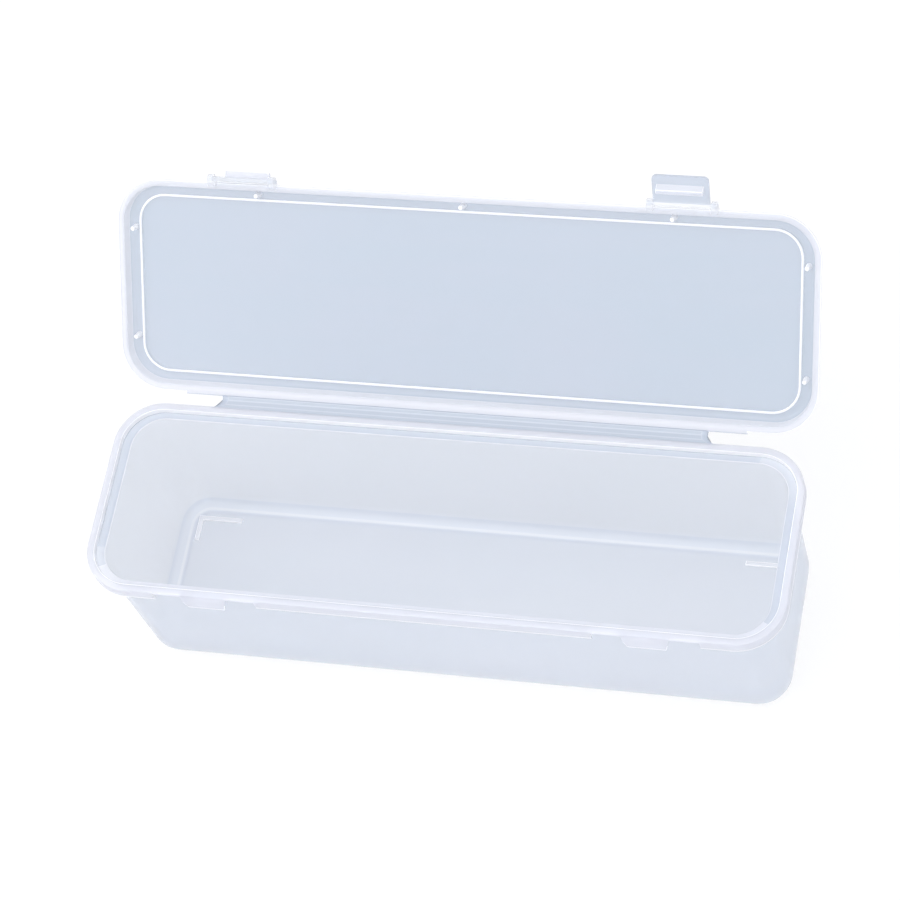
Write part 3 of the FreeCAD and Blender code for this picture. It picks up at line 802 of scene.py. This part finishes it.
def add_floor_rib(side_x, side_y):
    """An L rib with its corner towards one corner of the floor."""
    rib = add_box(
        "floor_rib", tub_wall, (RIB_X - RIB_WALL, RIB_Y - RIB_WALL, TUB_WALL / 2),
        (RIB_X, RIB_Y, TUB_WALL + RIB_RISE))
    start_editing(rib)
    pick_faces(rib, lambda middle, normal: normal.x < -FACING)
    extrude(x=RIB_WALL - RIB_LONG)
    corner_x = RIB_X - RIB_WALL
    pick_faces(rib, lambda middle, normal: normal.y < -FACING and middle.x > corner_x)
    extrude(y=RIB_WALL - RIB_SHORT)
    bpy.ops.mesh.select_all(action="SELECT")
    bpy.ops.transform.resize(value=(side_x, side_y, 1), center_override=(0, 0, 0))
    recalculate_normals()
    stop_editing()
    paint(rib, RIM_SLOT)
    soften(rib, LIP_ROUND)
    return rib


for side_x in (-1, 1):
    for side_y in (-1, 1):
        merge(tub, add_floor_rib(side_x, side_y), "UNION")
finish_shape(tub)

# %% [markdown]
# The lid is a shallow tray with a flat rim, moulded with the tub. Closed, it is a slab
# whose top narrows to a rounded panel, and whose underside is sunk to leave an even
# wall. It is stepped like the tub, so that the two rims stay parallel all the way round.

# %% Lid tray
LID_GAP = 0.1 * MM
LID_LOW = TOP + LID_GAP
LID_CORNER = 18.4 * MM
LID_RIM = 2.75 * MM
LID_WALL = 1.2 * MM
LID_HEIGHT = 7.0 * MM
LID_DRAFT = math.radians(5.7)
LID_LEAN = math.tan(LID_DRAFT)
LID_ROUND = 3.0 * MM
PANEL_Z = LID_LOW + LID_HEIGHT - LID_WALL

lid = rounded_slab("lid_shell", lid_wall, RIM_X, RIM_Y, LID_CORNER, LID_LOW, LID_WALL)
tray_depth = LID_HEIGHT - LID_WALL
inset(LID_RIM - LID_WALL + LID_WALL * LID_LEAN)
inset(tray_depth * LID_LEAN, tray_depth)
round_selected(LID_ROUND, ROUND_STEPS)
pick_faces(lid, faces_down)
inset(LID_RIM)
inset(tray_depth * LID_LEAN, -tray_depth)
round_selected(LID_ROUND - LID_WALL, ROUND_STEPS)
print("tray depth in mm", round(tray_depth / MM, 2))

# %% [markdown]
# A thin ridge stands in the tray and follows its wall all the way round. A swept curve
# would have to be joined to the panel, so the ridge grows out of it: the panel is inset
# twice, and the ring between the two insets is extruded.

# %% Ridge
LID_INNER_X = RIM_X - LID_RIM
LID_INNER_Y = RIM_Y - LID_RIM
RIDGE_END_INSET = 5.5 * MM
RIDGE_SIDE_INSET = 4.5 * MM
RIDGE_X = LID_INNER_X - RIDGE_END_INSET
RIDGE_Y = LID_INNER_Y - RIDGE_SIDE_INSET
RIDGE_WALL = 1.0 * MM
RIDGE_HEIGHT = 1.8 * MM


def is_panel(middle, normal):
    """The flat of the lid's inner face: the one whose middle is the lid's middle."""
    return abs(middle.z - PANEL_Z) < LIP_ROUND and middle.xy.length < LIP_ROUND


pick_faces(lid, is_panel)
panel = [vertex.co for vertex in bmesh.from_edit_mesh(lid.data).verts if vertex.select]
panel_x = max(corner.x for corner in panel)
to_ridge = max(corner.y for corner in panel) - RIDGE_Y - RIDGE_WALL / 2
inset(to_ridge)
stretch_x(panel_x - to_ridge, RIDGE_X + RIDGE_WALL / 2)
bpy.ops.mesh.inset(thickness=RIDGE_WALL, use_even_offset=True, use_select_inset=True)
extrude(z=-RIDGE_HEIGHT)
stop_editing()
report(lid)

# %% [markdown]
# Light that runs inside the lid comes out at the ridge's crest, which shows as a thin
# white line, and makes the rim and the tray's wall paler than the panel. The crest, rim
# and wall are painted before the edges are softened. The new faces at the ridge's foot
# then go back to the panel's finish, and those at the tray's mouth to the rim's.

# %% Lid, finishes
LID_INNER_CORNER = LID_CORNER - LID_RIM
RIDGE_CORNER = 10.5 * MM
RIDGE_FOOT = 1.6 * RIDGE_WALL
# A wall is steep when less than this share of its normal points up or down.
STEEP = 0.5


def past_inner_wall(middle):
    """How far a point lies outside the tray's inner wall."""
    return reach_past(middle, LID_INNER_X, LID_INNER_Y, LID_INNER_CORNER)


def off_ridge(middle):
    """How far a point lies to either side of the ridge's middle line."""
    return abs(reach_past(middle, RIDGE_X, RIDGE_Y, RIDGE_CORNER))


def is_ridge_crest(middle, normal):
    """The flat top of the ridge."""
    return off_ridge(middle) < RIDGE_WALL and middle.z < PANEL_Z - RIDGE_HEIGHT + LIP_ROUND


def is_ridge_foot(middle, normal):
    """The ridge's sides and the hollow edges at its foot."""
    above_crest = PANEL_Z - RIDGE_HEIGHT + LIP_ROUND < middle.z < PANEL_Z
    return off_ridge(middle) < RIDGE_FOOT and above_crest


def is_rim(middle, normal):
    """The flat rim round the tray, with its edge."""
    low = middle.z < LID_LOW + LID_WALL + LIP_ROUND
    return low and past_inner_wall(middle) > LIP_ROUND


def is_tray_side(middle, normal):
    """The inner face of the tray's leaning wall."""
    return -LID_WALL < past_inner_wall(middle) < LID_WALL / 2 and abs(normal.z) < STEEP


def is_tray_mouth(middle, normal):
    """The soft turn from the rim into the tray."""
    low = middle.z < LID_LOW + 2 * LIP_ROUND
    return low and abs(past_inner_wall(middle)) < 2 * LIP_ROUND


paint(lid, RIM_SLOT, is_rim)
paint(lid, RIM_SLOT, is_tray_side)
paint(lid, HIGHLIGHT_SLOT, is_ridge_crest)
soften(lid, LIP_ROUND)
paint(lid, WALL_SLOT, is_ridge_foot)
paint(lid, RIM_SLOT, is_tray_mouth)
report(lid)

# %% [markdown]
# Seven small pegs stand in the channel round the ridge: three along the front and two
# at each end. A moulded peg narrows towards its tip, so that it leaves the mould, which
# a cone with its tip cut off does by itself. One is made and copied to its places.

# %% Pegs
PEG_RADIUS = 1.3 * MM
PEG_HEIGHT = 5.0 * MM
PEG_DRAFT = math.radians(4.0)
PEG_STAND = 2.3 * MM
PEG_SIDES = 24
PEG_END_INSET = 56.55 * MM
PEG_SIDE_INSET = 18.55 * MM
PEG_FRONT_X = LID_INNER_X - PEG_END_INSET
PEG_END_Y = LID_INNER_Y - PEG_SIDE_INSET


def add_peg():
    """A peg that hangs from the lid's panel, in the middle of the lid."""
    root = PANEL_Z + LID_WALL / 2
    tip = PANEL_Z - PEG_HEIGHT
    bpy.ops.object.select_all(action="DESELECT")
    bpy.ops.mesh.primitive_cone_add(
        vertices=PEG_SIDES, radius1=PEG_RADIUS - (root - tip) * math.tan(PEG_DRAFT),
        radius2=PEG_RADIUS, depth=root - tip, location=(0, 0, (root + tip) / 2))
    peg = bpy.context.object
    peg.name = peg.data.name = "peg"
    give_finishes(peg, lid_wall)
    bpy.ops.object.transform_apply(location=True, rotation=True, scale=True)
    # The whole peg takes the painted highlight.
    paint(peg, HIGHLIGHT_SLOT)
    soften(peg, LIP_ROUND)
    return peg


peg = add_peg()
front_y = -RIDGE_Y - PEG_STAND
end_x = RIDGE_X + PEG_STAND
peg_places = [(side * PEG_FRONT_X, front_y) for side in (-1, 0, 1)]
peg_places += [(end * end_x, side * PEG_END_Y) for end in (-1, 1) for side in (-1, 1)]
for x, y in peg_places:
    merge(lid, shift(copy_of(peg, "peg_in_place"), (x, y, 0)), "UNION")
bpy.data.objects.remove(peg)
report(lid)

# %% [markdown]
# At the back of the lid, a thicker pad carries the hinge film. It is a plain bar, so a
# box with softened edges makes it, and the face that looks back at the film takes the
# shaded finish.

# %% Root pad
PAD_REACH = 1.05 * MM
PAD_X = 116.0 * MM

pad = add_box(
    "root_pad", lid_wall, (-PAD_X - PAD_REACH, RIM_Y - LID_RIM / 4, LID_LOW),
    (PAD_X + PAD_REACH, RIM_Y + PAD_REACH, LID_LOW + LID_WALL))
paint(pad, RIM_SLOT)
soften(pad, LIP_ROUND)
paint(pad, SHADE_SLOT, lambda middle, normal: normal.y > LEANING)
merge(lid, pad, "UNION")
report(lid)

# %% [markdown]
# At the front, each latch swings between two ears. An ear is a plate with a round nose
# about the pivot and a bore through it. The nose is a rod joined to the plate, and the
# bore is a thinner rod cut out, so both lie exactly on the pivot line. With the ears on,
# the lid is complete, and is turned open about the fold line.

# %% Ears
EAR_WALL = 2.4 * MM
EAR_ROUND = 1.6 * MM
EAR_ROOT = 1.1 * MM
EAR_PLAY = 0.35 * MM
LATCH_HALF = 11.25 * MM
PIN_RADIUS = 0.9 * MM
PIN_PLAY = 0.05 * MM


def add_ear(middle):
    """An ear about the pivot line, with its middle at a place along X."""
    centre = (middle, PIVOT.y, PIVOT.z)
    back = EAR_ROOT - RIM_Y
    ear = add_plate("ear", lid_wall, [
        (back, LID_LOW + LID_WALL), (-RIM_Y - EAR_ROOT / 2, LID_LOW + LID_WALL),
        (PIVOT.y - EAR_ROUND, PIVOT.z + EAR_ROUND), (PIVOT.y - EAR_ROUND, PIVOT.z),
        (PIVOT.y, PIVOT.z - EAR_ROUND), (PIVOT.y + EAR_ROUND, PIVOT.z - EAR_ROUND),
        (back, PIVOT.z),
    ], middle - EAR_WALL / 2, middle + EAR_WALL / 2)
    merge(ear, add_rod("ear_nose", lid_wall, centre, EAR_ROUND, EAR_WALL), "UNION")
    bore = add_rod("ear_bore", lid_wall, centre, PIN_RADIUS + PIN_PLAY, 2 * EAR_WALL)
    merge(ear, bore, "DIFFERENCE")
    paint(ear, SMALL_SLOT)
    return ear


beside = LATCH_HALF + EAR_PLAY + EAR_WALL / 2
for side in (-1, 1):
    for hand in (-1, 1):
        merge(lid, add_ear(side * LATCH_X + hand * beside), "UNION")
lid.data.transform(OPEN_LID)
finish_shape(lid)

# %% [markdown]
# The hinge is one thin film. On the real box it bends along a single fine crease, so
# here it is one piece too, and bends between tub and lid. Cloth would sag, and a film
# this short and stiff doesn't, so it is drawn in cross-section at rest and extruded
# along the box in steps. The steps leave narrow faces for a bead near each end.

# %% Hinge film
FILM_WALL = 0.8 * MM
FILM_FACE = 0.15 * MM
ROOT_DROP = 0.2 * MM
ROOT_RISE = 0.6 * MM
FILM_HALF = 101.0 * MM
FILM_STEPS = 8
FILM_LINE = 0.4 * MM
FILM_BEAD = 2.1 * MM

tub_root = Vector((0, FLANGE_Y - LIP_ROUND, TOP - ROOT_DROP))
lid_root = Vector((0, RIM_Y + PAD_REACH - LIP_ROUND, LID_LOW + ROOT_RISE))


def film_face(root, off_fold, turn):
    """Corners along one face of the film, from its root to the fold."""
    fold = FOLD + Vector((0, 0, off_fold))
    points = [turn @ root.lerp(fold, step / FILM_STEPS) for step in range(FILM_STEPS + 1)]
    return [(point.y, point.z) for point in points]


still = Matrix.Identity(4)
wall = Vector((0, 0, FILM_WALL))
inner_tub = film_face(tub_root, -FILM_FACE, still)
outer_tub = film_face(tub_root - wall, -FILM_FACE - FILM_WALL, still)
inner_lid = film_face(lid_root - wall, FILM_FACE, OPEN_LID)
outer_lid = film_face(lid_root, FILM_FACE + FILM_WALL, OPEN_LID)
stops = [-FILM_HALF, FILM_BEAD - FILM_HALF, FILM_BEAD + FILM_LINE - FILM_HALF]
stops += [-place for place in reversed(stops)]
film = add_plate(
    "hinge_film", film_wall, inner_tub + inner_lid[::-1] + outer_lid + outer_tub[::-1],
    stops[0], stops[1])
for start, end in zip(stops[1:], stops[2:]):
    start_editing(film)
    pick_faces(film, lambda middle, normal: normal.x > FACING)
    extrude(x=end - start)
    stop_editing()
report(film)

# %% [markdown]
# Fine paler lines mark the crease, the root on the lid and the inner side of each bead.
# The beads take the shaded finish, and so look darker. The lines are faces of the film, which
# take another finish, because a texture this fine would blur. Last, the ends are drawn out to
# a hollow round, by moving each vertex out with its distance from the fold.

# %% Film, lines and ends
FILM_FLARE = 3.9 * MM
# The steps of each half that are paler, counted from the root to the fold.
TUB_LINES = (3, 7)
LID_LINES = (0,)


def film_lines(root, numbers, turn):
    """Where the paler lines lie across one half of the film, by their middles."""
    shares = [(number + 0.5) / FILM_STEPS for number in numbers]
    return [turn @ root.lerp(FOLD, share) for share in shares]


line_places = film_lines(tub_root, TUB_LINES, still)
line_places += film_lines(lid_root - wall, LID_LINES, OPEN_LID)


def is_film_line(middle, normal):
    """A narrow face along the film, or across it beside the bead."""
    inside_bead = FILM_HALF - FILM_BEAD - FILM_LINE
    if abs(abs(middle.x) - inside_bead - FILM_LINE / 2) < FILM_LINE / 4:
        return True
    near = min((middle - place).yz.length for place in line_places)
    return near < FILM_WALL / 2 and normal.z > LEANING and abs(middle.x) < inside_bead


paint(film, SHADE_SLOT, lambda middle, normal: abs(middle.x) > FILM_HALF - FILM_BEAD)
paint(film, FLOOR_SLOT, is_film_line)
for vertex in film.data.vertices:
    away = min((vertex.co - FOLD).yz.length, FILM_FLARE)
    flare = FILM_FLARE - math.sqrt(FILM_FLARE**2 - away**2)
    vertex.co.x += math.copysign(flare, vertex.co.x)
finish_shape(film)

# %% [markdown]
# A latch is a flat flap that hangs from a barrel, with a hook bar across its back and a
# short pin at each end of the barrel. The flap is a box with two rounded corners, the
# barrel and the pins are rods on the pivot line, and the hook is a drawn plate. The
# latch is modelled closed, with its pivot at the origin, where a later turn about the
# pivot needs no offset.

# %% One latch
LATCH_LENGTH = 13.0 * MM
LATCH_WALL = 1.4 * MM
LATCH_CORNER = 1.9 * MM
BARREL_RADIUS = 1.1 * MM
HOOK_HALF = 9.3 * MM
HOOK_TOP = -6.5 * MM
HOOK_TIP = 3.7 * MM
HOOK_CREST = 1.8 * MM
HOOK_RAMP = 1.0 * MM
FLAP_ROUND = 0.25 * MM


def add_flap():
    """The flat flap, with its two tip corners rounded."""
    flap = add_box(
        "latch", latch_wall, (-LATCH_HALF, -LATCH_WALL / 2, -LATCH_LENGTH),
        (LATCH_HALF, LATCH_WALL / 2, -BARREL_RADIUS / 4))
    start_editing(flap)
    bpy.ops.mesh.select_mode(type="EDGE")
    mesh = bmesh.from_edit_mesh(flap.data)
    for edge in mesh.edges:
        start, end = (vertex.co for vertex in edge.verts)
        low = max(start.z, end.z) < -LATCH_LENGTH / 2
        edge.select_set(low and abs(start.x - end.x) < FLAP_ROUND)
    bmesh.update_edit_mesh(flap.data)
    bpy.ops.mesh.bevel(offset=LATCH_CORNER, segments=ROUND_STEPS, affect="EDGES")
    stop_editing()
    soften(flap, FLAP_ROUND, WALL_SLOT)
    return flap


def add_hook():
    """The hook bar, whose flat top catches under the catch."""
    ramp_foot = HOOK_TOP - HOOK_CREST - HOOK_RAMP
    hook = add_plate("hook", latch_wall, [
        (LATCH_WALL / 4, HOOK_TOP), (LATCH_WALL / 4, ramp_foot), (LATCH_WALL / 2, ramp_foot),
        (HOOK_TIP, HOOK_TOP - HOOK_CREST), (HOOK_TIP, HOOK_TOP),
    ], -HOOK_HALF, HOOK_HALF)
    paint(hook, RIM_SLOT)
    soften(hook, FLAP_ROUND)
    return hook


latch = add_flap()
pin_length = 2 * (LATCH_HALF + EAR_PLAY + EAR_WALL)
for name, radius, length in (
    ("barrel", BARREL_RADIUS, 2 * LATCH_HALF), ("pins", PIN_RADIUS, pin_length),
):
    rod = add_rod(name, latch_wall, (0, 0, 0), radius, length)
    paint(rod, SMALL_SLOT)
    merge(latch, rod, "UNION")
merge(latch, add_hook(), "UNION")
report(latch)

# %% [markdown]
# Both latches are the same part, and only their turn differs. So the finished one is
# copied for each side, lifted by its own angle, and opened with the lid.

# %% Latches in place
latches = {}
for name, side in (("left", -1), ("right", 1)):
    piece = copy_of(latch, f"latch_{name}_flap")
    pivot = Vector((side * PIVOT.x, PIVOT.y, PIVOT.z))
    lifted = Matrix.Translation(pivot) @ Matrix.Rotation(-LATCH_LIFT[name], 4, X_AXIS)
    piece.data.transform(OPEN_LID @ lifted)
    finish_shape(piece)
    latches[name] = piece
bpy.data.objects.remove(latch)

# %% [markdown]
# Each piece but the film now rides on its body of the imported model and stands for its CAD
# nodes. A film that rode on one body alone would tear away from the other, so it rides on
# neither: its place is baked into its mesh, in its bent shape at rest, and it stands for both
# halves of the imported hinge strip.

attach(tub, "tub")
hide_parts("tub")
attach(lid, "lid")
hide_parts("lid")
for name, piece in latches.items():
    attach(piece, f"latch_{name}")
    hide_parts(f"latch_{name}")
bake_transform(film)
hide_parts("hinge_strip_tub_side", "hinge_strip_lid_side")
print("pieces", [piece.name for piece in (tub, lid, film, *latches.values())])

# %% [markdown]
# The studio is a white table under one large soft lamp and a white sky. Stronger lamps
# would bleach the pale plastic along with the table, so the table glows a little, but
# only to the camera and to what is seen in gloss or through a wall. It is a mix of that
# glow and plain white, and so keeps a little of the box's shadow.

# %% Table
FLOOR_SIZE = 6.0
FLOOR_LIFT = 0.75
WHITE = linear("#FFFFFF")


def seen_white(tree):
    """One where a ray comes from the camera, a gloss or a see-through wall."""
    path = add_node(tree, "ShaderNodeLightPath")
    shown = path.outputs["Is Camera Ray"]
    for kind in ("Is Glossy Ray", "Is Transmission Ray"):
        shown = add_node(
            tree, "ShaderNodeMath", {0: shown, 1: path.outputs[kind]},
            operation="MAXIMUM").outputs[0]
    return shown


def add_floor():
    """A wide white table top that keeps the box's soft shadow."""
    bpy.ops.object.select_all(action="DESELECT")
    bpy.ops.mesh.primitive_plane_add(size=FLOOR_SIZE)
    floor = bpy.context.object
    floor.name = floor.data.name = "floor"
    material = bpy.data.materials.new("white_table")
    material.use_nodes = True
    tree = material.node_tree
    tree.nodes.clear()
    lift = add_node(
        tree, "ShaderNodeMath", {0: seen_white(tree), 1: FLOOR_LIFT}, operation="MULTIPLY")
    plain = add_node(tree, "ShaderNodeBsdfDiffuse", {"Color": WHITE})
    glow = add_node(tree, "ShaderNodeEmission", {"Color": WHITE, "Strength": 1.0})
    both = add_node(tree, "ShaderNodeMixShader", {
        0: lift.outputs[0], 1: plain.outputs[0], 2: glow.outputs[0]})
    add_node(tree, "ShaderNodeOutputMaterial", {"Surface": both.outputs[0]})
    floor.data.materials.append(material)


add_floor()
print("table", FLOOR_SIZE, "m wide, glow share", FLOOR_LIFT)

# %% [markdown]
# The sky is pure white to the camera and a faint blue white to the box, which lights it
# from all sides. The lamp hangs high, a little to the left and in front, and is as wide
# as it is high, so that it gives soft shadows and a slow change of light over the lid.

# %% Sky and lamp
SKY_TINT = linear("#F8FAFF")
SKY_STRENGTH = 1.0
LAMP_SIZE = 1.6
LAMP_POWER = 12.0
LAMP_PLACE = Vector((-0.5, -0.3, 1.6))


def add_sky():
    """A sky that is white to the camera and faintly blue to the box."""
    world = bpy.data.worlds.new("studio_sky")
    bpy.context.scene.world = world
    world.use_nodes = True
    tree = world.node_tree
    tree.nodes.clear()
    light = add_node(tree, "ShaderNodeBackground", {
        "Color": SKY_TINT, "Strength": SKY_STRENGTH})
    white = add_node(tree, "ShaderNodeBackground", {"Color": WHITE, "Strength": 1.0})
    both = add_node(tree, "ShaderNodeMixShader", {
        0: seen_white(tree), 1: light.outputs[0], 2: white.outputs[0]})
    add_node(tree, "ShaderNodeOutputWorld", {"Surface": both.outputs[0]})


def add_lamp():
    """One large soft lamp over the box."""
    data = bpy.data.lights.new("soft_lamp", "AREA")
    data.size = LAMP_SIZE
    data.energy = LAMP_POWER
    lamp = bpy.data.objects.new("soft_lamp", data)
    bpy.context.scene.collection.objects.link(lamp)
    lamp.location = LAMP_PLACE
    lamp.rotation_mode = "QUATERNION"
    lamp.rotation_quaternion = (-LAMP_PLACE).to_track_quat("-Z", "Y")


add_sky()
add_lamp()
bpy.context.scene.view_settings.view_transform = "Standard"
print("lamp", LAMP_POWER, "W, sky", SKY_STRENGTH)
